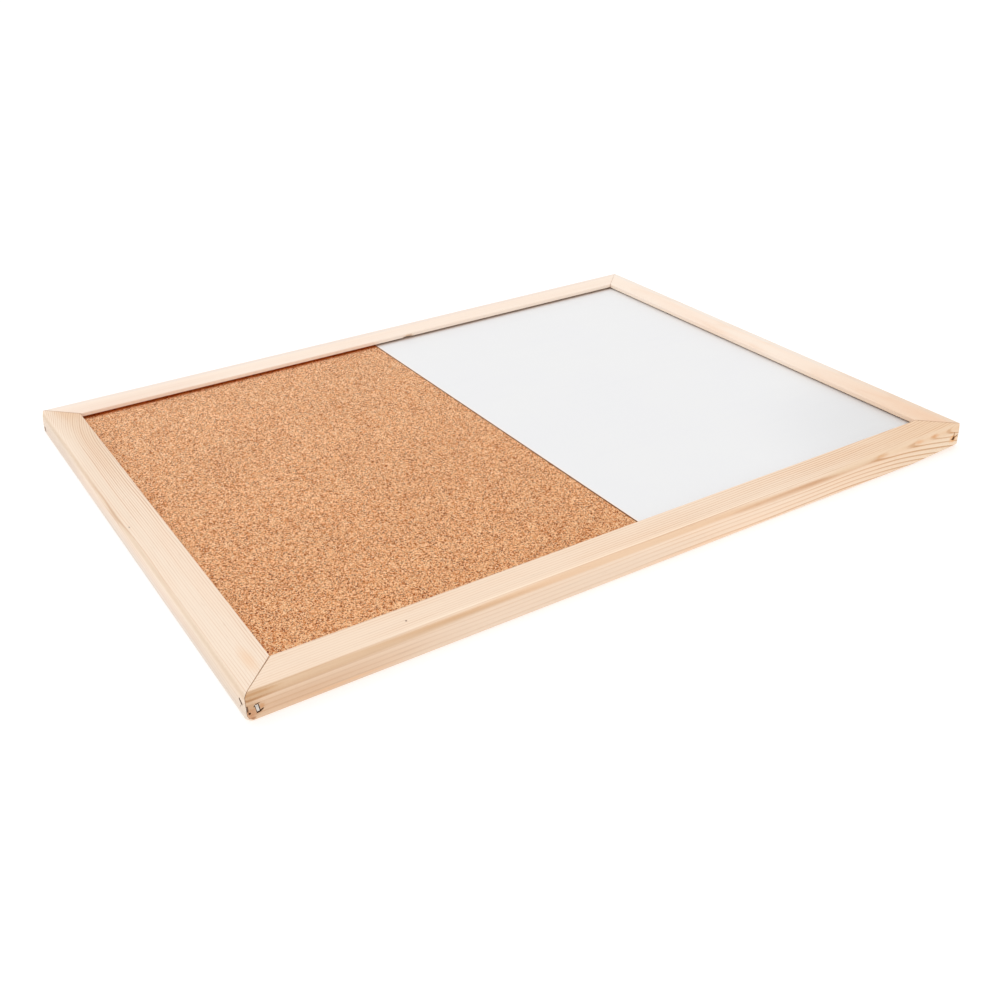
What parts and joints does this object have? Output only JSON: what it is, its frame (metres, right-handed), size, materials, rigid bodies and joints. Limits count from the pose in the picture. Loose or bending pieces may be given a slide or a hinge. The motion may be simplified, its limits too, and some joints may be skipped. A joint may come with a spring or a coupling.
{
  "type": "combination cork and dry-erase board",
  "caption": "Wall board lying on its back: half cork for pins, half white for markers, in a mitred pine frame with corner staples and let-in toothed hangers.",
  "frame": {"origin": "middle of the underside, which is the back of the frame", "axes": "+X along the long side from the cork half to the white half, +Y from the bottom rail to the top rail that holds the hangers, +Z out of the front face"},
  "size_m": [0.4, 0.3, 0.013],
  "materials": {
    "pine_front": "matte",
    "pine_pale": "matte",
    "cork": "matte",
    "white_lacquer": "satin",
    "hardboard": "matte",
    "staple_steel": "satin",
    "zinc_plate": "satin"
  },
  "bodies": {
    "root": {"rail_front": "pine_front", "rail_left": "pine_front", "rail_back": "pine_pale", "rail_right": "pine_pale", "backing_board": "hardboard", "cork_sheet": "cork", "whiteboard_sheet": "white_lacquer", "staple_front_left": "staple_steel", "staple_left_front": "staple_steel", "staple_front_right": "staple_steel", "staple_right_front": "staple_steel", "staple_left_back": "staple_steel", "staple_back_left": "staple_steel", "staple_back_right": "staple_steel", "staple_right_back": "staple_steel", "hanger_left": "zinc_plate", "hanger_right": "zinc_plate", "hanger_left_nail_a": "staple_steel", "hanger_left_nail_b": "staple_steel", "hanger_right_nail_a": "staple_steel", "hanger_right_nail_b": "staple_steel"}
  },
  "joints": []
}
